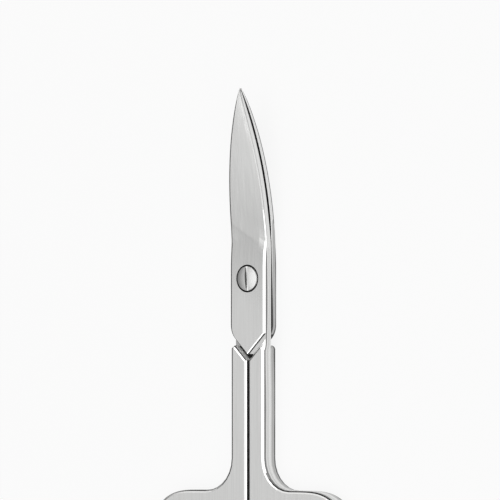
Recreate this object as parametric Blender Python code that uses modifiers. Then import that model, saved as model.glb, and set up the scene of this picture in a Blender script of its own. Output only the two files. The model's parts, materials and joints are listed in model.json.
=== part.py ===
"""Curved nail scissors: two forged halves that cross at one slotted pivot screw.

Metres, +Z up. The scissors lie closed on their flat underside, tips toward +Y, screw head up.
Both halves are one design: the front half's plate and blade lie on top and its handle is at +X,
the rear half is the same form turned over, so its handle is at -X.
"""

import math

import bmesh
import bpy

MM = 0.001

# Overall layout, measured from the pivot axis
pivot_to_tip = 31.7 * MM
pivot_to_ring_end = 61.9 * MM
handle_thickness = 3.5 * MM
handle_gap = 0.28 * MM
edge_radius = 0.48 * MM

# Plate round the pivot
plate_half_width = 3.75 * MM
plate_thickness = 1.6 * MM
plate_corner_radius = 3.3 * MM
plate_own_side_start = 10.8 * MM
plate_shank_overlap = 0.25 * MM
relief_start = 8.5 * MM
relief_length = 17.0 * MM
relief_height = 0.5 * MM
relief_depth = 1.0 * MM
inner_edge_break = 0.03 * MM
ride_gap = 0.12 * MM

# Shoulder where plate and handle meet in a V
shoulder_drop = 13.22 * MM
shoulder_gap = 0.74 * MM
shoulder_reach = 2.9 * MM
shoulder_corner_radius = 0.6 * MM
shoulder_side_drop = 0.8 * MM
shoulder_side_radius = 0.6 * MM
arm_edge_radius = 0.2 * MM
groove_floor_width = 0.6 * MM
groove_depth = 0.3 * MM
groove_plate_radius = 0.3 * MM
groove_shank_radius = 0.6 * MM
shoulder_angle = math.radians(45)

# Blade
bend_start = 5.0 * MM
bend_length = 5.5 * MM
bend_rise_share = 0.118
sweep_radius = 550.0 * MM
hollow_gap = 0.48 * MM
hollow_power = 6
blade_start = 7.0 * MM
blade_thickness = 1.18 * MM
blade_tip_half_width = 0.08 * MM
blade_tip_thickness = 0.12 * MM
blade_outline_power = 2.25
thinning_start = 1.5 * MM
thinning_length = 8.5 * MM
tip_pointing_power = 5
tip_round_power = 0.6
cutting_side_height = 0.95 * MM
cutting_side_least_drop_share = 0.15
cutting_side_radius = 0.2 * MM
cutting_side_lean = 0.12 * MM
grind_start = 6.0 * MM
grind_length = 4.6 * MM
grind_skew_share = 0.6

# Handle
shank_half_width = 3.5 * MM
ring_top_drop = 35.3 * MM
ring_fillet_radius = 5.3 * MM
ring_outer_width = 21.0 * MM
ring_outer_power = 3.0
ring_side_wall = 3.0 * MM
ring_end_wall = 3.05 * MM
hole_power = 2.5
hole_edge_radius = 1.1 * MM

# Pivot screw
head_radius = 2.1 * MM
head_depth = 0.6 * MM
head_rise = 0.08 * MM
head_crown = 0.3 * MM
head_rim = 0.1 * MM
head_seat_gap = 0.06 * MM
head_side_gap = 0.22 * MM
cone_depth = 0.45 * MM
journal_radius = 1.5 * MM
journal_gap = 0.05 * MM
thread_radius = 1.2 * MM
thread_gap = 0.05 * MM
peen_radius = 1.65 * MM
peen_depth = 0.35 * MM
tail_inset = 0.03 * MM
slot_width = 0.5 * MM
slot_depth = 0.32 * MM
slot_turn = math.radians(3)

# Fineness of the curves
station_step = 0.75 * MM
face_steps = 6
edge_steps = 3
ring_steps = 72
hole_steps = 56
fillet_steps = 7
turned_steps = 56
overrun = 1.0 * MM
weld_distance = 0.0001 * MM

# Sizes that follow from those above
pivot_y = (pivot_to_ring_end - pivot_to_tip) / 2
middle_z = handle_thickness / 2
plate_face_z = middle_z + ride_gap / 2 + plate_thickness
handle_inner_x = handle_gap / 2
arm_slope = math.tan(shoulder_angle)
arm_offset = shoulder_gap / 2 / math.cos(shoulder_angle)
ring_length = pivot_to_ring_end - ring_top_drop
ring_centre_x = handle_inner_x + ring_outer_width / 2
ring_centre_y = -(ring_top_drop + pivot_to_ring_end) / 2
hole_half_width = ring_outer_width / 2 - ring_side_wall
hole_half_length = ring_length / 2 - ring_end_wall


def smooth_step(value):
    """Goes from 0 to 1 with level ends while the value goes from 0 to 1."""
    value = min(max(value, 0.0), 1.0)
    return value * value * (3 - 2 * value)


def blade_rise(x, y):
    """Height of the parting surface over its flat part: a short bend, then a long sweep to the tip.

    It depends only on the distance from the pivot, so that the halves slide past each other.
    """
    run = math.hypot(x, y) - bend_start
    if y <= 0 or run <= 0:
        return 0.0
    share = min(run / bend_length, 1.0)
    bend = bend_length * (share**3 - share**4 / 2) + max(run - bend_length, 0.0)
    return bend_rise_share * bend + run * run / (2 * sweep_radius)


def parting_gap(x, y):
    """Gap between the inner faces: narrow at plate and tip, hollow along the blade."""
    along = (math.hypot(x, y) - blade_start) / (pivot_to_tip - blade_start)
    if y <= 0 or along <= 0 or along >= 1:
        return ride_gap
    return ride_gap + hollow_gap * (1 - abs(2 * along - 1) ** hollow_power)


def blade_half_width(y):
    along = (y - blade_start) / (pivot_to_tip - blade_start)
    if along <= 0:
        return plate_half_width
    return max(plate_half_width * (1 - along**blade_outline_power), blade_tip_half_width)


def crest_height(y):
    """Thickness along the back: the plate's, then the thinner blade's, which ends at the tip."""
    thinned = smooth_step((y - thinning_start) / thinning_length)
    thickness = plate_thickness + (blade_thickness - plate_thickness) * thinned
    along = min(max((y - blade_start) / (pivot_to_tip - blade_start), 0.0), 1.0)
    return max(thickness * (1 - along**tip_pointing_power) ** tip_round_power, blade_tip_thickness)


def grind_share(x, y):
    """0 on the flat plate and 1 on the ground blade, across a slanting line above the screw."""
    return smooth_step((y - grind_start + grind_skew_share * x) / grind_length)


def plate_left_edge(y):
    """The side away from the own handle: straight, then round a corner into the V."""
    arm_y = -shoulder_drop + arm_offset
    on_arm = (y - arm_y) / arm_slope
    tangent = plate_corner_radius * math.tan(shoulder_angle / 2)
    corner_y = arm_y + plate_half_width * arm_slope
    if y >= corner_y + tangent:
        return blade_half_width(y)
    if y <= corner_y - tangent * math.sin(shoulder_angle):
        return on_arm
    lift = corner_y + tangent - y
    return plate_half_width - plate_corner_radius + math.sqrt(plate_corner_radius**2 - lift**2)


def arm_share(y):
    """0 along the plate's free side and 1 on its arm of the V."""
    corner_y = -shoulder_drop + arm_offset + plate_half_width * arm_slope
    return smooth_step((corner_y + plate_corner_radius / 2 - y) / plate_corner_radius)


def plate_right_edge(y):
    """The side toward the own handle: it narrows into the shank below the neck."""
    share = smooth_step((-plate_own_side_start - y) / (shoulder_drop - plate_own_side_start))
    inside_shank = shank_half_width - plate_shank_overlap
    return blade_half_width(y) + (inside_shank - plate_half_width) * share


def outer_height(x, y, left, right):
    """Height of the outer face over the inner face at a place on the plate or the blade."""
    crest = crest_height(y)
    low = min(cutting_side_height, crest * (1 - cutting_side_least_drop_share))
    toward_spine = (right - x) / (right + left)
    ground = low + (crest - low) * math.sin(toward_spine * math.pi / 2)
    return crest + (ground - crest) * grind_share(x, y)


def relief_share(y):
    """The inner edge of the plate's free side is cut back more and more toward the V."""
    return smooth_step((relief_start - y) / relief_length)


def edge_side_points(y, right, height):
    """Up the right side to its round edge, which is small on the blade, where the side leans in."""
    ground = grind_share(right, y)
    radius = edge_radius + (cutting_side_radius - edge_radius) * ground
    radius = min(radius, (right + plate_left_edge(y)) / 4, height / 2)
    points = []
    for step in range(edge_steps + 1):
        angle = math.pi / 2 * step / edge_steps
        x = right - radius + radius * math.cos(angle)
        level = height - radius + radius * math.sin(angle)
        points.append((x - cutting_side_lean * ground * level / height, level))
    return points


def free_side_points(y, left, height):
    """From the outer face round the free side, or the back of the blade, down to the relief."""
    radius = edge_radius + (arm_edge_radius - edge_radius) * arm_share(y)
    radius = min(radius, (left + plate_right_edge(y)) / 4, height / 2)
    points = []
    for step in range(edge_steps + 1):
        angle = math.pi / 2 * step / edge_steps
        inset = radius * (1 - math.sin(angle))
        points.append((-left + inset, height - radius * (1 - math.cos(angle))))
    points.append((-left, max(relief_height * relief_share(y), inner_edge_break)))
    return points


def section_points(y):
    """Outline (x, height) of plate or blade at one station, from the free side along the inner face."""
    left = plate_left_edge(y)
    right = plate_right_edge(y)
    inner_start = -left + max(relief_depth * relief_share(y), inner_edge_break)
    points = []
    for step in range(face_steps + 1):
        points.append((inner_start + (right - inner_start) * step / face_steps, 0.0))
    edge = edge_side_points(y, right, outer_height(right, y, left, right))
    free = free_side_points(y, left, outer_height(-left, y, left, right))
    points += edge
    first, last = edge[-1][0], free[0][0]
    for step in range(1, face_steps):
        x = first + (last - first) * step / face_steps
        points.append((x, outer_height(x, y, left, right)))
    return points + free


def stations():
    """Places along the plate and the blade, closer together in the V and toward the tip."""
    first = -shoulder_drop + arm_offset + station_step / 6
    neck = -plate_own_side_start + plate_corner_radius
    places = [first]
    while places[-1] < pivot_to_tip:
        near_end = places[-1] < neck or places[-1] > pivot_to_tip - 2 * station_step
        places.append(places[-1] + station_step / (3 if near_end else 1))
    places[-1] = pivot_to_tip
    return places


def collection(name):
    made = bpy.data.collections.new(name)
    bpy.context.scene.collection.children.link(made)
    return made


def mesh_object(name, mesh_data, target):
    made = bpy.data.objects.new(name, mesh_data)
    made.location = (0, pivot_y, 0)
    target.objects.link(made)
    return made


def mark_as_helper(helper):
    helper.hide_render = True
    helper.display_type = "WIRE"
    return helper


def loft(name, rings, target):
    """A closed solid through rings that have as many points each."""
    work = bmesh.new()
    rows = [[work.verts.new(point) for point in ring] for ring in rings]
    for row, following_row in zip(rows, rows[1:]):
        for index, corner in enumerate(row):
            after = (index + 1) % len(row)
            work.faces.new((corner, row[after], following_row[after], following_row[index]))
    work.faces.new(rows[0])
    work.faces.new(rows[-1])
    bmesh.ops.triangulate(work, faces=work.faces[:])
    bmesh.ops.recalc_face_normals(work, faces=work.faces[:])
    mesh_data = bpy.data.meshes.new(name)
    work.to_mesh(mesh_data)
    work.free()
    return mesh_object(name, mesh_data, target)


def plate_and_blade(name, side, target):
    """Plate and blade of one half. Side is 1 for the upper layer and -1 for the lower one."""
    rings = []
    for y in stations():
        ring = []
        for x, height in section_points(y):
            depth = parting_gap(x, y) / 2 + height
            ring.append((side * x, y, middle_z + side * depth + blade_rise(x, y)))
        rings.append(ring)
    return mark_as_helper(loft(name, rings, target))


def superellipse(centre, half_width, half_length, power, start, end, steps):
    points = []
    for step in range(steps + 1):
        angle = start + (end - start) * step / steps
        across = math.cos(angle)
        along = math.sin(angle)
        x = centre[0] + half_width * math.copysign(abs(across) ** (2 / power), across)
        y = centre[1] + half_length * math.copysign(abs(along) ** (2 / power), along)
        points.append((x, y))
    return points


def rounded_path(corners):
    """Points along an open path whose inner corners (x, y, radius) are rounded by arcs."""
    points = [corners[0][:2]]
    for before, corner, after in zip(corners, corners[1:], corners[2:]):
        x, y, radius = corner
        back = math.atan2(before[1] - y, before[0] - x)
        ahead = math.atan2(after[1] - y, after[0] - x)
        turn = math.remainder(ahead - back, math.tau)
        reach = radius / math.sin(abs(turn) / 2)
        middle = back + turn / 2
        centre_x = x + reach * math.cos(middle)
        centre_y = y + reach * math.sin(middle)
        sweep = math.copysign(math.pi - abs(turn), -turn)
        first = middle + math.pi - sweep / 2
        for step in range(fillet_steps + 1):
            angle = first + sweep * step / fillet_steps
            points.append((centre_x + radius * math.cos(angle), centre_y + radius * math.sin(angle)))
    points.append(corners[-1][:2])
    return points


def handle_outline():
    """Shank and outer ring, from the foot of the V round to the inner side of the ring."""
    arm_y = -shoulder_drop - arm_offset
    shoulder_y = arm_y + shoulder_reach * arm_slope
    corners = [
        (handle_inner_x, arm_y + handle_inner_x * arm_slope, 0.0),
        (shoulder_reach, shoulder_y, shoulder_corner_radius),
        (shank_half_width, shoulder_y - shoulder_side_drop, shoulder_side_radius),
        (shank_half_width, -ring_top_drop, ring_fillet_radius),
        (ring_centre_x, -ring_top_drop, 0.0),
    ]
    ring = superellipse(
        (ring_centre_x, ring_centre_y),
        ring_outer_width / 2,
        ring_length / 2,
        ring_outer_power,
        math.pi / 2,
        -math.pi,
        ring_steps,
    )
    return rounded_path(corners) + ring[1:]


def handle_mesh(name, side):
    """The handle as a flat outline with round edges, extruded, then made a closed mesh."""
    outline = bpy.data.curves.new(name, "CURVE")
    outline.dimensions = "2D"
    outline.fill_mode = "BOTH"
    outline.extrude = handle_thickness / 2 - edge_radius
    outline.bevel_depth = edge_radius
    outline.bevel_resolution = edge_steps - 1
    outline.offset = -edge_radius
    spline = outline.splines.new("POLY")
    spline.use_cyclic_u = True
    points = [(side * x, y) for x, y in handle_outline()]
    spline.points.add(len(points) - 1)
    for point, (x, y) in zip(spline.points, points):
        point.co = (x, y, 0, 1)
    guide = bpy.data.objects.new(name, outline)
    bpy.context.scene.collection.objects.link(guide)
    graph = bpy.context.evaluated_depsgraph_get()
    mesh_data = bpy.data.meshes.new_from_object(guide.evaluated_get(graph))
    bpy.data.objects.remove(guide)
    bpy.data.curves.remove(outline)
    work = bmesh.new()
    work.from_mesh(mesh_data)
    bmesh.ops.remove_doubles(work, verts=work.verts[:], dist=weld_distance)
    bmesh.ops.translate(work, verts=work.verts[:], vec=(0, 0, middle_z))
    bmesh.ops.recalc_face_normals(work, faces=work.faces[:])
    work.to_mesh(mesh_data)
    work.free()
    return mesh_data


def finger_hole_cutter(name, side, target):
    """A hole that flares at both faces, so that its edges come out round."""
    rings = []
    levels = [-overrun]
    for step in range(fillet_steps + 1):
        levels.append(hole_edge_radius * step / fillet_steps)
    levels += [handle_thickness - level for level in reversed(levels)]
    for level in levels:
        from_face = min(max(min(level, handle_thickness - level), 0.0), hole_edge_radius)
        flare = hole_edge_radius - math.sqrt(
            hole_edge_radius**2 - (hole_edge_radius - from_face) ** 2
        )
        ring = superellipse(
            (ring_centre_x, ring_centre_y),
            hole_half_width + flare,
            hole_half_length + flare,
            hole_power,
            0,
            math.tau,
            hole_steps,
        )
        rings.append([(side * x, y, level) for x, y in ring[:-1]])
    return mark_as_helper(loft(name, rings, target))


def groove_side(face, radius):
    """One side of the groove, as (offset, height): from over the face down a round edge to the floor."""
    drop = min(face + groove_depth - (plate_face_z - middle_z), radius)
    reach = math.acos(1 - drop / radius)
    rim = groove_floor_width / 2 + radius * math.sin(reach)
    first = reach / edge_steps
    lead_in = rim + radius * math.sin(first)
    points = [(lead_in, face + overrun), (lead_in, face + radius * (1 - math.cos(first)))]
    for step in range(1, edge_steps + 1):
        angle = reach * step / edge_steps
        points.append((rim - radius * math.sin(angle), face - radius * (1 - math.cos(angle))))
    return points


def groove_profile():
    """Cross-section of the groove, as (offset toward the plate, height over the middle plane)."""
    shank_side = groove_side(handle_thickness / 2, groove_shank_radius)
    plate_side = groove_side(plate_face_z - middle_z, groove_plate_radius)
    return [(-offset, height) for offset, height in shank_side] + plate_side[::-1]


def shoulder_groove_cutter(name, side, target):
    """The shallow groove that sets the plate off from its own handle, along one arm of the V."""
    across_x = math.sin(shoulder_angle)
    across_y = math.cos(shoulder_angle)
    rings = []
    for x in (handle_inner_x, plate_half_width + overrun):
        y = -shoulder_drop + x * arm_slope
        ring = []
        for offset, depth in groove_profile():
            ring.append((side * (x - offset * across_x), y + offset * across_y, middle_z + side * depth))
        rings.append(ring)
    return mark_as_helper(loft(name, rings, target))


def turned(name, profile, target):
    """A solid turned about the pivot axis from a profile of (radius, z), outer side going down."""
    mesh_data = bpy.data.meshes.new(name)
    points = [(radius, 0, z) for radius, z in profile]
    links = [(index, index + 1) for index in range(len(points) - 1)]
    mesh_data.from_pydata(points, links, [])
    made = mesh_object(name, mesh_data, target)
    screw = made.modifiers.new("turn", "SCREW")
    screw.steps = turned_steps
    screw.render_steps = turned_steps
    screw.use_merge_vertices = True
    screw.merge_threshold = weld_distance
    return made


def front_hole_profile():
    """Counterbore, cone and journal hole in the front plate."""
    cone_top = plate_face_z - head_depth - head_seat_gap
    journal = journal_radius + journal_gap
    return [
        (0, plate_face_z + overrun),
        (head_radius + head_side_gap, plate_face_z + overrun),
        (head_radius + head_side_gap, cone_top),
        (journal, cone_top - cone_depth),
        (journal, middle_z - overrun / 4),
        (0, middle_z - overrun / 4),
    ]


def rear_hole_profile():
    """Threaded hole in the rear plate, opened out underneath where the tail is riveted over."""
    underside = middle_z - ride_gap / 2 - plate_thickness
    return [
        (0, middle_z + overrun / 4),
        (thread_radius + thread_gap, middle_z + overrun / 4),
        (thread_radius + thread_gap, underside + peen_depth + thread_gap),
        (peen_radius + thread_gap, underside),
        (peen_radius + thread_gap, underside - overrun),
        (0, underside - overrun),
    ]


def screw_profile():
    """Crowned head, cone under it, journal in the front plate, thread and riveted tail."""
    underside = middle_z - ride_gap / 2 - plate_thickness
    head_top = plate_face_z + head_rise
    head_foot = plate_face_z - head_depth
    seat = middle_z - ride_gap / 2 + thread_gap
    points = []
    for step in range(fillet_steps + 1):
        radius = (head_radius - head_rim) * step / fillet_steps
        fall = head_crown * (radius / head_radius) ** 2
        points.append((radius, head_top + head_crown - fall))
    points += [
        (head_radius, head_top - head_rim),
        (head_radius, head_foot),
        (journal_radius, head_foot - cone_depth),
        (journal_radius, seat),
        (thread_radius, seat),
        (thread_radius, underside + peen_depth),
        (peen_radius, underside + tail_inset),
        (0, underside + tail_inset),
    ]
    return points


def slot_cutter(name, target):
    made = bmesh.new()
    bmesh.ops.create_cube(made, size=1)
    mesh_data = bpy.data.meshes.new(name)
    height = slot_depth + overrun
    bmesh.ops.scale(made, verts=made.verts[:], vec=(slot_width, 2 * head_radius + overrun, height))
    lift = plate_face_z + head_rise + head_crown - slot_depth + height / 2
    bmesh.ops.translate(made, verts=made.verts[:], vec=(0, 0, lift))
    made.to_mesh(mesh_data)
    made.free()
    cutter = mesh_object(name, mesh_data, target)
    cutter.rotation_euler = (0, 0, slot_turn)
    return mark_as_helper(cutter)


def combine(body, tool, operation):
    step = body.modifiers.new(tool.name, "BOOLEAN")
    step.operation = operation
    step.solver = "EXACT"
    step.object = tool


def steel(name, colour, roughness):
    made = bpy.data.materials.new(name)
    made.use_nodes = True
    shader = made.node_tree.nodes["Principled BSDF"]
    shader.inputs["Base Color"].default_value = (*colour, 1)
    shader.inputs["Metallic"].default_value = 1
    shader.inputs["Roughness"].default_value = roughness
    return made


def make_half(name, side, screw_hole, material, parts, helpers):
    body = mesh_object(name, handle_mesh(name, side), parts)
    combine(body, plate_and_blade(name + "_plate_and_blade", side, helpers), "UNION")
    combine(body, finger_hole_cutter(name + "_finger_hole", side, helpers), "DIFFERENCE")
    combine(body, shoulder_groove_cutter(name + "_shoulder_groove", side, helpers), "DIFFERENCE")
    hole = mark_as_helper(turned(name + "_screw_hole", screw_hole, helpers))
    combine(body, hole, "DIFFERENCE")
    body.data.materials.append(material)
    return body


def make_screw(material, parts, helpers):
    screw = turned("pivot_screw", screw_profile(), parts)
    combine(screw, slot_cutter("pivot_screw_slot", helpers), "DIFFERENCE")
    screw.data.materials.append(material)
    return screw


def main():
    for old in list(bpy.data.objects):
        bpy.data.objects.remove(old)
    parts = collection("nail_scissors")
    helpers = collection("cutters")
    satin = steel("satin_stainless_steel", (0.62, 0.62, 0.61), 0.34)
    satin_rear = steel("satin_stainless_steel_rear", (0.60, 0.60, 0.59), 0.34)
    turned_steel = steel("turned_stainless_steel", (0.70, 0.70, 0.69), 0.2)
    make_half("front_half", 1, front_hole_profile(), satin, parts, helpers)
    make_half("rear_half", -1, rear_hole_profile(), satin_rear, parts, helpers)
    make_screw(turned_steel, parts, helpers)


main()
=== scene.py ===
"""Looks of the curved nail scissors: satin ground faces, polished edges and a turned screw."""

import json
import math

import bpy
from bpy.props import FloatProperty, FloatVectorProperty, PointerProperty
from bpy.types import Operator, Panel, PropertyGroup
from mathutils import Matrix, Vector

bl_info = {
    "name": "Nail Scissors Finisher",
    "version": (1, 0, 0),
    "blender": (4, 5, 0),
    "location": "3D View > Sidebar > Scissors",
    "description": "Finishes the two steel halves and the pivot screw, and sets the studio",
    "category": "Object",
}

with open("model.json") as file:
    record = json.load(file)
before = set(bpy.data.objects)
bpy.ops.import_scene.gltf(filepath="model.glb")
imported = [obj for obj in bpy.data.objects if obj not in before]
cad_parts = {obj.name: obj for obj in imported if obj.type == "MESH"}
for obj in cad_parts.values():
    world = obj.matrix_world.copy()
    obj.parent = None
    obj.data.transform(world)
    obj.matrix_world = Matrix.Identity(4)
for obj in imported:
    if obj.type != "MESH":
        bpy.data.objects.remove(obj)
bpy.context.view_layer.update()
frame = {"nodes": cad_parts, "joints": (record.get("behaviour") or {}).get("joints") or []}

MM = 0.001

# The hinge's centre, read from the frame
pivot = Vector(frame["joints"][0]["pos_m"])

# Heights of the solids: the front plate's face and the handles' thickness
plate_face_z = pivot.z + 1.66 * MM
handle_thickness = 3.5 * MM

# Places on the halves: lengths along Y and reaches, measured from the pivot
hole_reach = 2.5 * MM
grind_line_start = 7.2 * MM
grind_line_skew_share = 0.6
stoned_from = 11.5 * MM
shoulder_y = -9.0 * MM
plate_foot = -13.4 * MM
shoulder_foot = -14.2 * MM
ring_top = -28.0 * MM
ring_painted_shade_depth = 4.0 * MM
parting_depth = 1.0 * MM
foot_strip_reach = 1.0 * MM

# How faces of the halves stand: the part of a unit normal that lies along Z
handle_face_flatness = 0.98
foot_strip_flatness = 0.9
blade_face_flatness = 0.8
hole_flatness = 0.9
edge_flatness = 0.4
stoned_flatness = 0.35
facing_other_half = 0.75
facing_down = 0.1

# The same along X
sideways_tilt = 0.12
shoulder_wall_tilt = (-0.85, -0.5)

# Parts of the screw: heights over the plate's face, reach from the axis and flatness
head_flank_height = -0.05 * MM
head_rim_reach = 1.95 * MM
head_rim_flatness = 0.6
slot_wall_flatness = 0.5
slot_floor_height = 0.08 * MM
slot_floor_flatness = 0.9999

# Faces that meet at more than this angle keep a sharp edge
sharp_angle = math.radians(38)

# Noise keeps mostly between these values
noise_low = 0.3
noise_high = 0.7

# Share of the painted shade that changes slowly along the ground faces; the grinding lines take the
# rest
painted_shade_share = 0.78

# Painted reflections and shade on the side walls from the underside up, as shares of height and of
# brightness: dark at the foot as painted shade, light and dark bands as painted reflections, and a
# dark line under the top round edge
painted_side_reflections = (
    (0.15, 0.0),
    (0.22, 0.6),
    (0.31, 0.45),
    (0.38, 0.65),
    (0.48, 0.95),
    (0.56, 0.95),
    (0.65, 0.75),
    (0.72, 0.75),
    (0.78, 1.0),
    (0.85, 0.2),
    (0.98, 0.2),
    (1.0, 1.0),
)
# How far the painted bands wander up and down
painted_reflection_wander = 0.12 * MM

# Painted shade along the faces from the V to the tip, as millimetres from the pivot and brightness:
# darkest a few millimetres past the pivot; the small step is the line where the blade's grinding
# begins
painted_face_shade_tones = (
    (-14.0, 0.8),
    (-4.0, 0.75),
    (2.0, 0.3),
    (6.3, 0.12),
    (7.0, 0.02),
    (7.5, 0.3),
    (13.0, 0.5),
    (20.0, 0.8),
    (32.0, 1.0),
)

# Painted shade darkens the polished edges of the rings where they face the tips: how much of a
# normal's X is added to its Y, and the values of the sum between which the painted shade comes
painted_shade_side_share = -0.8
painted_shade_range = (0.3, 0.65)

# Heights between which the painted shade on the V's filed walls turns from dark to light
painted_shade_heights = (2.2 * MM, 2.5 * MM)

# The surroundings: sines of elevation between which the dark horizon turns into the ceiling,
# and cosines of the angle from the softbox between which it stops hiding the ceiling
ceiling_elevations = (0.4, 0.72)
softbox_cover = (0.72, 0.9)
covered_ceiling_share = 0.05

# The floor: depth under the scissors, and how plain the camera and the steel see it
floor_gap = 0.05 * MM
floor_plain_to_camera = 0.88
floor_plain_to_steel = 0.6

# The photograph's view
photo_scale_px_per_m = 6000.0
photo_size_px = 500.0
photo_pivot_px = (247.3, 278.5)


def linear(hex_colour):
    """An sRGB hex colour as linear RGBA."""
    value = hex_colour.lstrip("#")
    channels = [int(value[start : start + 2], 16) / 255 for start in (0, 2, 4)]
    return [c / 12.92 if c <= 0.04045 else ((c + 0.055) / 1.055) ** 2.4 for c in channels] + [1.0]


class ScissorsSteel(PropertyGroup):
    """Colours and surface finish of the steel."""

    face_colour: FloatVectorProperty(
        name="Face colour",
        description="Satin ground faces of plate and handles",
        subtype="COLOR",
        size=4,
        default=linear("#e0e0df"),
    )
    edge_colour: FloatVectorProperty(
        name="Edge colour",
        description="Polished round edges",
        subtype="COLOR",
        size=4,
        default=linear("#fafaf9"),
    )
    side_colour: FloatVectorProperty(
        name="Side colour",
        description="Side walls, ground along their length",
        subtype="COLOR",
        size=4,
        default=linear("#f2f2f1"),
    )
    # Dark grey: painted shade in the gap between the halves
    relief_shade_colour: FloatVectorProperty(
        name="Relief colour",
        description="Hollow that relieves the inner faces",
        subtype="COLOR",
        size=4,
        default=linear("#5c5c5b"),
    )
    mating_colour: FloatVectorProperty(
        name="Mating colour",
        description="Flat inner faces of the blades and plates",
        subtype="COLOR",
        size=4,
        default=linear("#b4b4b3"),
    )
    # Dark grey: painted shade on the edges that face down
    underside_shade_colour: FloatVectorProperty(
        name="Lower edge colour",
        description="Dull edges underneath the blades",
        subtype="COLOR",
        size=4,
        default=linear("#464645"),
    )
    stoned_colour: FloatVectorProperty(
        name="Stoned colour",
        description="Front edges of the blades, broken on a stone",
        subtype="COLOR",
        size=4,
        default=linear("#d4d4d3"),
    )
    # Nearly black: painted shade in the hole and round the screw
    hole_shade_colour: FloatVectorProperty(
        name="Hole colour",
        description="Bored hole and counterbore, and the screw's flank",
        subtype="COLOR",
        size=4,
        default=linear("#262625"),
    )
    screw_colour: FloatVectorProperty(
        name="Screw colour",
        description="Turned head of the pivot screw",
        subtype="COLOR",
        size=4,
        default=linear("#dededd"),
    )
    # Dark grey: painted shade on the slot's walls
    slot_wall_shade_colour: FloatVectorProperty(
        name="Slot wall colour",
        description="Walls of the screw's slot",
        subtype="COLOR",
        size=4,
        default=linear("#5c5c5b"),
    )
    slot_floor_colour: FloatVectorProperty(
        name="Slot floor colour",
        description="Floor of the screw's slot",
        subtype="COLOR",
        size=4,
        default=linear("#fafaf9"),
    )
    # A real belt's lines are a few hundredths of a millimetre wide, too fine to show here,
    # so they are drawn coarser, and so are the turning marks
    grain_width: FloatProperty(
        name="Grain width",
        description="Width of one grinding line on the satin faces",
        subtype="DISTANCE",
        unit="LENGTH",
        default=0.22 * MM,
    )
    blade_grain_width: FloatProperty(
        name="Blade grain width",
        description="Width of one grinding line on the blades",
        subtype="DISTANCE",
        unit="LENGTH",
        default=0.352 * MM,
    )
    grain_length: FloatProperty(
        name="Grain length",
        description="Length of one grinding line",
        subtype="DISTANCE",
        unit="LENGTH",
        default=7.0 * MM,
    )
    turning_pitch: FloatProperty(
        name="Turning pitch",
        description="Distance between the turning marks on the screw head",
        subtype="DISTANCE",
        unit="LENGTH",
        default=0.16 * MM,
    )


class ScissorsStage(PropertyGroup):
    """Studio round the scissors."""

    turn: FloatProperty(
        name="Camera turn",
        description="How far the camera leans from straight above toward +X",
        subtype="ANGLE",
        unit="ROTATION",
        default=math.radians(38),
    )
    lens: FloatProperty(
        name="Lens",
        description="Focal length of the photograph's view in millimetres",
        subtype="DISTANCE_CAMERA",
        unit="CAMERA",
        default=1000.0,
    )
    softbox_width: FloatProperty(
        name="Softbox width",
        description="Size of the softbox across the scissors",
        subtype="DISTANCE",
        unit="LENGTH",
        default=1.55,
    )
    softbox_length: FloatProperty(
        name="Softbox length",
        description="Size of the softbox along the scissors",
        subtype="DISTANCE",
        unit="LENGTH",
        default=2.3,
    )
    softbox_distance: FloatProperty(
        name="Softbox distance",
        description="Distance from the screw to the softbox",
        subtype="DISTANCE",
        unit="LENGTH",
        default=1.15,
    )
    softbox_lean: FloatProperty(
        name="Softbox lean",
        description="How far the softbox stands from straight above toward +X",
        subtype="ANGLE",
        unit="ROTATION",
        default=math.radians(22),
    )
    softbox_power: FloatProperty(
        name="Softbox power",
        description="Power of the softbox in watts",
        subtype="POWER",
        unit="POWER",
        default=13.3,
    )
    ceiling_light: FloatProperty(
        name="Ceiling light",
        description="Brightness of the ceiling, as a share of white",
        subtype="FACTOR",
        min=0.0,
        max=1.0,
        default=0.86,
    )
    horizon_light: FloatProperty(
        name="Horizon light",
        description="Brightness of the horizon, as a share of white",
        subtype="FACTOR",
        min=0.0,
        max=1.0,
        default=0.03,
    )
    floor_size: FloatProperty(
        name="Floor size",
        description="Side of the square floor",
        subtype="DISTANCE",
        unit="LENGTH",
        default=3.0,
    )
    floor_colour: FloatVectorProperty(
        name="Floor colour",
        description="Matt board on which the shadow lies",
        subtype="COLOR",
        size=4,
        default=linear("#f2f2f2"),
    )
    backdrop_colour: FloatVectorProperty(
        name="Backdrop colour",
        description="Floor and surroundings as the camera sees them",
        subtype="COLOR",
        size=4,
        default=linear("#fefefe"),
    )


def add_node(tree, kind, settings=(), **inputs):
    """Adds one node, sets its properties, and sets or links its inputs by name or by _number."""
    node = tree.nodes.new(kind)
    for name, value in dict(settings).items():
        setattr(node, name, value)
    for name, value in inputs.items():
        key = int(name[1:]) if name[0] == "_" else name.replace("_", " ")
        if isinstance(value, bpy.types.NodeSocket):
            tree.links.new(value, node.inputs[key])
        else:
            node.inputs[key].default_value = value
    return node


def new_material(name):
    """A material without any nodes."""
    material = bpy.data.materials.new(name)
    material.use_nodes = True
    material.node_tree.nodes.clear()
    return material


def coordinates(tree, kind):
    """X, Y and Z of a place on the object, or of its normal."""
    place = add_node(tree, "ShaderNodeTexCoord")
    return add_node(tree, "ShaderNodeSeparateXYZ", Vector=place.outputs[kind]).outputs


def streaks(tree, width, depth, length):
    """Noise, mostly from 0 to 1, drawn out along Y: width is its size along X and depth along Z."""
    place = add_node(tree, "ShaderNodeTexCoord")
    drawn = add_node(
        tree,
        "ShaderNodeMapping",
        Vector=place.outputs["Object"],
        Scale=(1 / width, 1 / length, 1 / depth),
    )
    noise = add_node(tree, "ShaderNodeTexNoise", Vector=drawn.outputs[0], Scale=1.0, Detail=3.0)
    return add_node(
        tree,
        "ShaderNodeMapRange",
        {"clamp": False},
        Value=noise.outputs[0],
        From_Min=noise_low,
        From_Max=noise_high,
    ).outputs[0]


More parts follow.
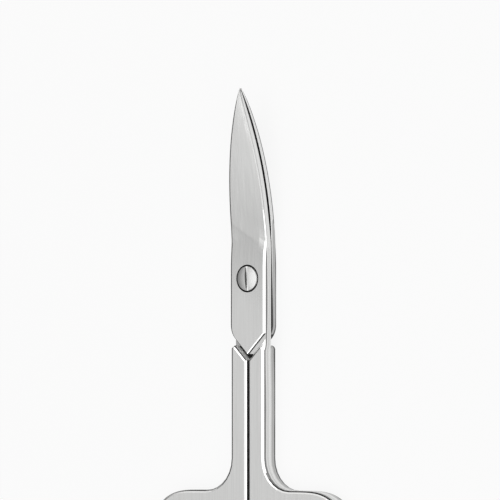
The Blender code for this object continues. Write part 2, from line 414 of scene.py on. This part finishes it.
def tone_along(tree, place, tones):
    """Brightness along a line, given as pairs of place and brightness."""
    first, last = tones[0][0], tones[-1][0]
    share = add_node(tree, "ShaderNodeMapRange", Value=place, From_Min=first, From_Max=last)
    ramp = add_node(tree, "ShaderNodeValToRGB", Fac=share.outputs[0])
    stops = ramp.color_ramp.elements
    for stop_place, _ in tones[1:-1]:
        stops.new((stop_place - first) / (last - first))
    for stop, (stop_place, brightness) in zip(stops, tones):
        stop.color = (brightness, brightness, brightness, 1.0)
    return ramp.outputs[0]


def steel(name, colour, pattern, roughness, roughness_spread, darker_share, relief=0.0):
    """Steel whose pattern, from 0 to 1, varies its gloss and tone and raises fine lines.

    Roughness goes from one spread below its value, where the pattern is 0, to one above. The
    colour is darker by darker_share where the pattern is 0. Relief is how far the lines stand out.
    """
    material = new_material(name)
    tree = material.node_tree
    value = pattern(tree)
    gloss = add_node(
        tree,
        "ShaderNodeMapRange",
        Value=value,
        To_Min=roughness - roughness_spread,
        To_Max=roughness + roughness_spread,
    )
    tone = add_node(
        tree,
        "ShaderNodeMix",
        {"data_type": "RGBA"},
        _0=value,
        _6=[channel * (1 - darker_share) for channel in colour[:3]] + [1.0],
        _7=list(colour),
    )
    shader = add_node(
        tree,
        "ShaderNodeBsdfPrincipled",
        Base_Color=tone.outputs[2],
        Metallic=1.0,
        Roughness=gloss.outputs[0],
    )
    if relief:
        bump = add_node(tree, "ShaderNodeBump", Strength=1.0, Distance=relief, Height=value)
        tree.links.new(bump.outputs[0], shader.inputs["Normal"])
    add_node(tree, "ShaderNodeOutputMaterial", Surface=shader.outputs[0])
    return material


def grain_over_painted_shade(tree, width, length):
    """Fine grinding lines over a painted shade that changes slowly along the scissors.

    The painted shade's lines run skewed as the blade's grind line does, mirrored on the rear half.
    """
    lines = streaks(tree, width=width, depth=1 * MM, length=length)
    x, y, z = coordinates(tree, "Object")
    above = add_node(tree, "ShaderNodeMath", {"operation": "SUBTRACT"}, _0=z, _1=pivot.z)
    side = add_node(tree, "ShaderNodeMath", {"operation": "SIGN"}, _0=above.outputs[0])
    skew = add_node(tree, "ShaderNodeMath", {"operation": "MULTIPLY"}, _0=x, _1=side.outputs[0])
    along = add_node(
        tree,
        "ShaderNodeMath",
        {"operation": "MULTIPLY_ADD"},
        _0=skew.outputs[0],
        _1=grind_line_skew_share,
        _2=y,
    )
    tones = [(pivot.y + place * MM, brightness) for place, brightness in painted_face_shade_tones]
    slow = tone_along(tree, along.outputs[0], tones)
    return add_node(tree, "ShaderNodeMix", _0=painted_shade_share, _2=lines, _3=slow).outputs[0]


# Stainless steel, belt ground lengthwise: a grey with a faint lengthwise line, over a painted shade
# that changes slowly along the scissors
def satin_ground_stainless(settings):
    return steel(
        "satin_ground_stainless",
        settings.face_colour,
        lambda tree: grain_over_painted_shade(tree, settings.grain_width, settings.grain_length),
        roughness=0.27,
        roughness_spread=0.03,
        darker_share=0.32,
        relief=0.0008 * MM,
    )


# Stainless steel, the same belt used steeper on the blade: slightly brighter, with broader lines,
# over the same painted shade
def ground_blade_stainless(settings):
    return steel(
        "ground_blade_stainless",
        settings.face_colour,
        lambda tree: grain_over_painted_shade(tree, settings.blade_grain_width, settings.grain_length),
        roughness=0.25,
        roughness_spread=0.03,
        darker_share=0.3,
        relief=0.0008 * MM,
    )


# Stainless steel, polished on a soft wheel: edges that catch white light and dark surroundings, and
# a painted shade that darkens the edges of the rings where they face the tips
def wheel_polished_painted_shade_stainless(settings):
    def polish(tree):
        facing = coordinates(tree, "Normal")
        along = coordinates(tree, "Object")[1]
        toward_tips = add_node(
            tree,
            "ShaderNodeMath",
            {"operation": "MULTIPLY_ADD"},
            _0=facing[0],
            _1=painted_shade_side_share,
            _2=facing[1],
        )
        facing_tips = add_node(
            tree,
            "ShaderNodeMapRange",
            Value=toward_tips.outputs[0],
            From_Min=painted_shade_range[0],
            From_Max=painted_shade_range[1],
        )
        at_ring = add_node(
            tree,
            "ShaderNodeMapRange",
            Value=along,
            From_Min=pivot.y + ring_top,
            From_Max=pivot.y + ring_top - ring_painted_shade_depth,
        )
        painted_dark = add_node(
            tree,
            "ShaderNodeMath",
            {"operation": "MULTIPLY"},
            _0=facing_tips.outputs[0],
            _1=at_ring.outputs[0],
        )
        return add_node(
            tree, "ShaderNodeMapRange", Value=painted_dark.outputs[0], To_Min=1.0, To_Max=0.0
        ).outputs[0]

    return steel(
        "wheel_polished_painted_shade_stainless",
        settings.edge_colour,
        polish,
        roughness=0.16,
        roughness_spread=-0.02,
        darker_share=0.8,
    )


# Stainless steel, side walls ground along their length, with painted reflections and shade: long
# bands that change from light to dark, and a dark line under either round edge
def edge_ground_painted_reflection_stainless(settings):
    def bands(tree):
        wander = add_node(
            tree,
            "ShaderNodeMapRange",
            Value=streaks(tree, width=9 * MM, depth=9 * MM, length=12 * MM),
            To_Min=-painted_reflection_wander,
            To_Max=painted_reflection_wander,
        )
        height = add_node(
            tree,
            "ShaderNodeMath",
            {"operation": "ADD"},
            _0=coordinates(tree, "Object")[2],
            _1=wander.outputs[0],
        )
        tones = [(share * handle_thickness, brightness) for share, brightness in painted_side_reflections]
        return tone_along(tree, height.outputs[0], tones)

    return steel(
        "edge_ground_painted_reflection_stainless",
        settings.side_colour,
        bands,
        roughness=0.2,
        roughness_spread=0.03,
        darker_share=0.9,
    )


# Stainless steel, the hollow that relieves the inner faces, never polished: dull, and dark grey as
# painted shade in the gap between the halves
def inner_ground_painted_shade_stainless(settings):
    width, length = settings.grain_width, settings.grain_length
    return steel(
        "inner_ground_painted_shade_stainless",
        settings.relief_shade_colour,
        lambda tree: streaks(tree, width=width, depth=1 * MM, length=length),
        roughness=0.4,
        roughness_spread=0.05,
        darker_share=0.2,
    )


# Stainless steel, inner faces ground flat where they slide past each other: a little duller
def mating_face_stainless(settings):
    return steel(
        "mating_face_stainless",
        settings.mating_colour,
        lambda tree: streaks(tree, width=0.5 * MM, depth=1 * MM, length=0.12 * MM),
        roughness=0.36,
        roughness_spread=0.05,
        darker_share=0.15,
        relief=0.0008 * MM,
    )


# Stainless steel, bored on the drill press: a nearly black ring, painted shade in the hole, the
# counterbore and on the screw's flank
def bored_painted_shade_stainless(settings):
    return steel(
        "bored_painted_shade_stainless",
        settings.hole_shade_colour,
        lambda tree: streaks(tree, width=0.5 * MM, depth=0.1 * MM, length=0.5 * MM),
        roughness=0.5,
        roughness_spread=0.08,
        darker_share=0.3,
    )


# Stainless steel, the blade's narrow sides off the stone: even and matt
def cutting_side_stainless(settings):
    return steel(
        "cutting_side_stainless",
        settings.side_colour,
        lambda tree: streaks(tree, width=9 * MM, depth=0.3 * MM, length=5 * MM),
        roughness=0.33,
        roughness_spread=0.05,
        darker_share=0.12,
    )


# Stainless steel, the blade's front edge broken on a stone: matt, so that it shines only faintly
def stoned_edge_stainless(settings):
    return steel(
        "stoned_edge_stainless",
        settings.stoned_colour,
        lambda tree: streaks(tree, width=0.4 * MM, depth=0.4 * MM, length=5 * MM),
        roughness=0.36,
        roughness_spread=0.05,
        darker_share=0.12,
    )


# Stainless steel, filed across by hand in the V: rough, with painted shade, light above and dark in
# its depth
def filed_shoulder_painted_shade_stainless(settings):
    def light_above(tree):
        return add_node(
            tree,
            "ShaderNodeMapRange",
            Value=coordinates(tree, "Object")[2],
            From_Min=painted_shade_heights[0],
            From_Max=painted_shade_heights[1],
        ).outputs[0]

    return steel(
        "filed_shoulder_painted_shade_stainless",
        settings.side_colour,
        light_above,
        roughness=0.85,
        roughness_spread=0.05,
        darker_share=0.85,
    )


# Stainless steel, edges underneath the blades: dull, and darker as painted shade where they face
# down
def painted_shade_underside_stainless(settings):
    return steel(
        "painted_shade_underside_stainless",
        settings.underside_shade_colour,
        lambda tree: streaks(tree, width=0.5 * MM, depth=0.5 * MM, length=5 * MM),
        roughness=0.35,
        roughness_spread=0.05,
        darker_share=0.15,
    )


# Stainless steel, turned on a lathe: fine rings round the screw's axis
def turned_stainless(settings):
    def rings(tree):
        place = add_node(tree, "ShaderNodeTexCoord")
        centred = add_node(
            tree,
            "ShaderNodeMapping",
            Vector=place.outputs["Object"],
            Location=(-pivot.x, -pivot.y, 0.0),
        )
        parts = add_node(tree, "ShaderNodeSeparateXYZ", Vector=centred.outputs[0])
        flat = add_node(tree, "ShaderNodeCombineXYZ", X=parts.outputs[0], Y=parts.outputs[1])
        reach = add_node(
            tree, "ShaderNodeVectorMath", {"operation": "LENGTH"}, _0=flat.outputs[0]
        )
        turns = add_node(
            tree,
            "ShaderNodeMath",
            {"operation": "MULTIPLY"},
            _0=reach.outputs["Value"],
            _1=1 / settings.turning_pitch,
        )
        noise = add_node(
            tree,
            "ShaderNodeTexNoise",
            {"noise_dimensions": "1D"},
            W=turns.outputs[0],
            Scale=1.0,
            Detail=2.0,
        )
        return add_node(
            tree,
            "ShaderNodeMapRange",
            {"clamp": False},
            Value=noise.outputs[0],
            From_Min=noise_low,
            From_Max=noise_high,
        ).outputs[0]

    return steel(
        "turned_stainless",
        settings.screw_colour,
        rings,
        roughness=0.4,
        roughness_spread=0.04,
        darker_share=0.14,
        relief=0.0006 * MM,
    )


# Stainless steel, milled and left as cut: the dull dark walls of the slot, dark as painted shade
# inside it
def milled_slot_painted_shade_stainless(settings):
    return steel(
        "milled_slot_painted_shade_stainless",
        settings.slot_wall_shade_colour,
        lambda tree: streaks(tree, width=0.1 * MM, depth=0.1 * MM, length=0.4 * MM),
        roughness=0.45,
        roughness_spread=0.08,
        darker_share=0.3,
    )


# Stainless steel, the floor of the slot, left bright by the milling cutter
def bright_slot_floor_stainless(settings):
    return steel(
        "bright_slot_floor_stainless",
        settings.slot_floor_colour,
        lambda tree: streaks(tree, width=0.1 * MM, depth=0.1 * MM, length=0.4 * MM),
        roughness=0.3,
        roughness_spread=0.05,
        darker_share=0.05,
    )


def dress(node, finishes, zone):
    """Gives a CAD node its finishes by name; zone says which one a face takes."""
    piece = frame["nodes"][node]
    piece.data.materials.clear()
    for material in finishes.values():
        piece.data.materials.append(material)
    numbers = {name: number for number, name in enumerate(finishes)}
    for face in piece.data.polygons:
        face.material_index = numbers[zone(face)]
    piece.data.shade_smooth()
    piece.data.set_sharp_from_angle(angle=sharp_angle)
    weighted = piece.modifiers.new("face_weighted_normals", "WEIGHTED_NORMAL")
    weighted.keep_sharp = True


def inner_zone(face):
    """Finish of a face that looks at the other half."""
    return "relief" if abs(face.normal.x) > sideways_tilt else "mating_face"


def blade_zone(face, side, y):
    """Finish of a face on the blade, beyond the grind line."""
    flatness = abs(face.normal.z)
    if side * face.normal.x > sideways_tilt:
        if y < stoned_from and edge_flatness < flatness < handle_face_flatness:
            return "polished_edge"
        return "stoned_edge" if flatness > stoned_flatness else "cutting_side"
    if flatness > blade_face_flatness:
        return "blade_face"
    return "lower_edge" if face.normal.z < -facing_down else "cutting_side"


def half_zone(face, side):
    """Finish of a face of the front half, with side 1, or of the rear half, with side -1."""
    flatness = abs(face.normal.z)
    x, y = face.center.x - pivot.x, face.center.y - pivot.y
    by_parting = y > shoulder_y or abs(face.center.z - pivot.z) < parting_depth
    if y > plate_foot and by_parting and side * face.normal.z < -facing_other_half:
        return inner_zone(face)
    if math.hypot(x, y) < hole_reach and flatness < hole_flatness:
        return "hole"
    if shoulder_foot < y < shoulder_y and flatness < edge_flatness:
        if shoulder_wall_tilt[0] < side * face.normal.x < shoulder_wall_tilt[1]:
            return "filed_shoulder"
    if y > grind_line_start - grind_line_skew_share * side * x:
        return blade_zone(face, side, y)
    in_foot_strip = abs(x) < foot_strip_reach and y < plate_foot
    if flatness > handle_face_flatness or (flatness > foot_strip_flatness and in_foot_strip):
        return "satin_face"
    return "polished_edge" if flatness > edge_flatness else "side_wall"


def screw_zone(face):
    """Finish of a face of the screw."""
    reach = math.hypot(face.center.x - pivot.x, face.center.y - pivot.y)
    over_plate = face.center.z - plate_face_z
    on_rim = reach > head_rim_reach and face.normal.z < head_rim_flatness
    if over_plate < head_flank_height or on_rim:
        return "flank"
    if face.normal.z < slot_wall_flatness:
        return "slot_wall"
    in_slot = face.normal.z > slot_floor_flatness and over_plate < slot_floor_height
    return "slot_floor" if in_slot else "turned_head"


class SCISSORS_OT_finish_halves(Operator):
    """Gives the front and the rear half their satin, ground and polished steel"""

    bl_idname = "scissors.finish_halves"
    bl_label = "Finish the halves"

    def execute(self, context):
        settings = context.scene.scissors_steel
        finishes = {
            "satin_face": satin_ground_stainless(settings),
            "blade_face": ground_blade_stainless(settings),
            "polished_edge": wheel_polished_painted_shade_stainless(settings),
            "side_wall": edge_ground_painted_reflection_stainless(settings),
            "relief": inner_ground_painted_shade_stainless(settings),
            "cutting_side": cutting_side_stainless(settings),
            "filed_shoulder": filed_shoulder_painted_shade_stainless(settings),
            "lower_edge": painted_shade_underside_stainless(settings),
            "stoned_edge": stoned_edge_stainless(settings),
            "hole": bored_painted_shade_stainless(settings),
            "mating_face": mating_face_stainless(settings),
        }
        dress("front_half", finishes, lambda face: half_zone(face, 1))
        dress("rear_half", finishes, lambda face: half_zone(face, -1))
        return {"FINISHED"}


class SCISSORS_OT_finish_screw(Operator):
    """Gives the pivot screw its turned head and milled slot"""

    bl_idname = "scissors.finish_screw"
    bl_label = "Finish the screw"

    def execute(self, context):
        settings = context.scene.scissors_steel
        finishes = {
            "turned_head": turned_stainless(settings),
            "slot_wall": milled_slot_painted_shade_stainless(settings),
            "slot_floor": bright_slot_floor_stainless(settings),
            "flank": bored_painted_shade_stainless(settings),
        }
        dress("pivot_screw", finishes, screw_zone)
        return {"FINISHED"}


def softbox_direction(settings):
    """Direction from the screw to the softbox."""
    return Vector((math.sin(settings.softbox_lean), 0, math.cos(settings.softbox_lean)))


def surroundings(settings):
    """A pale ceiling, covered by the softbox, and a dark horizon; the camera sees plain white."""
    world = bpy.data.worlds.new("studio")
    bpy.context.scene.world = world
    world.use_nodes = True
    tree = world.node_tree
    tree.nodes.clear()
    outward = add_node(tree, "ShaderNodeTexCoord").outputs["Generated"]
    parts = add_node(tree, "ShaderNodeSeparateXYZ", Vector=outward)
    ceiling = add_node(
        tree,
        "ShaderNodeMapRange",
        {"interpolation_type": "SMOOTHSTEP"},
        Value=parts.outputs[2],
        From_Min=ceiling_elevations[0],
        From_Max=ceiling_elevations[1],
        To_Min=settings.horizon_light,
        To_Max=settings.ceiling_light,
    )
    toward_softbox = add_node(
        tree,
        "ShaderNodeVectorMath",
        {"operation": "DOT_PRODUCT"},
        _0=outward,
        _1=softbox_direction(settings),
    )
    uncovered = add_node(
        tree,
        "ShaderNodeMapRange",
        Value=toward_softbox.outputs["Value"],
        From_Min=softbox_cover[0],
        From_Max=softbox_cover[1],
        To_Min=1.0,
        To_Max=covered_ceiling_share,
    )
    light = add_node(
        tree,
        "ShaderNodeMath",
        {"operation": "MULTIPLY"},
        _0=ceiling.outputs[0],
        _1=uncovered.outputs[0],
    )
    room = add_node(tree, "ShaderNodeBackground", Color=(1, 1, 1, 1), Strength=light.outputs[0])
    plain = add_node(tree, "ShaderNodeBackground", Color=settings.backdrop_colour, Strength=1.0)
    path = add_node(tree, "ShaderNodeLightPath")
    seen = add_node(
        tree,
        "ShaderNodeMixShader",
        Fac=path.outputs["Is Camera Ray"],
        _1=room.outputs[0],
        _2=plain.outputs[0],
    )
    add_node(tree, "ShaderNodeOutputWorld", Surface=seen.outputs[0])


def matt_white_board(settings):
    """White board with a faint shadow: camera and steel see it partly as plain white."""
    material = new_material("matt_white_board")
    tree = material.node_tree
    matt = add_node(tree, "ShaderNodeBsdfDiffuse", Color=settings.floor_colour)
    plain = add_node(tree, "ShaderNodeEmission", Color=settings.backdrop_colour, Strength=1.0)
    path = add_node(tree, "ShaderNodeLightPath")
    to_camera = add_node(
        tree,
        "ShaderNodeMath",
        {"operation": "MULTIPLY"},
        _0=path.outputs["Is Camera Ray"],
        _1=floor_plain_to_camera,
    )
    share = add_node(
        tree,
        "ShaderNodeMath",
        {"operation": "MULTIPLY_ADD"},
        _0=path.outputs["Is Glossy Ray"],
        _1=floor_plain_to_steel,
        _2=to_camera.outputs[0],
    )
    board = add_node(
        tree,
        "ShaderNodeMixShader",
        Fac=share.outputs[0],
        _1=matt.outputs[0],
        _2=plain.outputs[0],
    )
    add_node(tree, "ShaderNodeOutputMaterial", Surface=board.outputs[0])
    return material


def pale_floor(settings):
    """A square board just under the scissors."""
    bpy.ops.mesh.primitive_plane_add(size=settings.floor_size, location=(0, 0, -floor_gap))
    floor = bpy.context.object
    floor.name = "floor"
    floor.data.materials.append(matt_white_board(settings))


def softbox(settings):
    """A long softbox overhead, a little to the right."""
    data = bpy.data.lights.new("softbox", "AREA")
    data.shape = "RECTANGLE"
    data.size = settings.softbox_width
    data.size_y = settings.softbox_length
    data.energy = settings.softbox_power
    lamp = bpy.data.objects.new("softbox", data)
    away = softbox_direction(settings)
    lamp.location = pivot + away * settings.softbox_distance
    lamp.rotation_euler = away.to_track_quat("Z", "Y").to_euler()
    bpy.context.scene.collection.objects.link(lamp)


def photo_camera(settings):
    """A long lens above and to the right, framed as the photograph."""
    toward = Vector((math.sin(settings.turn), 0, math.cos(settings.turn)))
    right = Vector((math.cos(settings.turn), 0, -math.sin(settings.turn)))
    up = Vector((0, 1, 0))
    data = bpy.data.cameras.new("photo_view")
    data.lens = settings.lens
    distance = photo_size_px * data.lens / data.sensor_width / photo_scale_px_per_m
    aim = Vector((pivot.x, pivot.y, plate_face_z))
    aim += right * ((photo_size_px / 2 - photo_pivot_px[0]) / photo_scale_px_per_m)
    aim += up * ((photo_pivot_px[1] - photo_size_px / 2) / photo_scale_px_per_m)
    camera = bpy.data.objects.new("photo_view", data)
    turned = Matrix((right, up, toward)).transposed().to_4x4()
    camera.matrix_world = Matrix.Translation(aim + toward * distance) @ turned
    bpy.context.scene.collection.objects.link(camera)
    bpy.context.scene.camera = camera


class SCISSORS_OT_set_stage(Operator):
    """Sets the floor, the surroundings, the softbox and the camera"""

    bl_idname = "scissors.set_stage"
    bl_label = "Set the stage"

    def execute(self, context):
        settings = context.scene.scissors_stage
        context.scene.view_settings.view_transform = "Standard"
        surroundings(settings)
        pale_floor(settings)
        softbox(settings)
        photo_camera(settings)
        return {"FINISHED"}


class SCISSORS_PT_sidebar(Panel):
    """The steps that finish the scissors, with their settings"""

    bl_label = "Nail Scissors"
    bl_idname = "SCISSORS_PT_sidebar"
    bl_space_type = "VIEW_3D"
    bl_region_type = "UI"
    bl_category = "Scissors"

    def draw(self, context):
        for settings in (context.scene.scissors_steel, context.scene.scissors_stage):
            for name in settings.__annotations__:
                self.layout.prop(settings, name)
        for step in STEPS:
            self.layout.operator(step.bl_idname)


STEPS = (SCISSORS_OT_finish_halves, SCISSORS_OT_finish_screw, SCISSORS_OT_set_stage)
CLASSES = (ScissorsSteel, ScissorsStage, *STEPS, SCISSORS_PT_sidebar)


def register():
    for item in CLASSES:
        bpy.utils.register_class(item)
    bpy.types.Scene.scissors_steel = PointerProperty(type=ScissorsSteel)
    bpy.types.Scene.scissors_stage = PointerProperty(type=ScissorsStage)


def unregister():
    del bpy.types.Scene.scissors_stage
    del bpy.types.Scene.scissors_steel
    for item in reversed(CLASSES):
        bpy.utils.unregister_class(item)


def main():
    register()
    bpy.ops.scissors.finish_halves()
    bpy.ops.scissors.finish_screw()
    bpy.ops.scissors.set_stage()


if __name__ == "__main__":
    main()
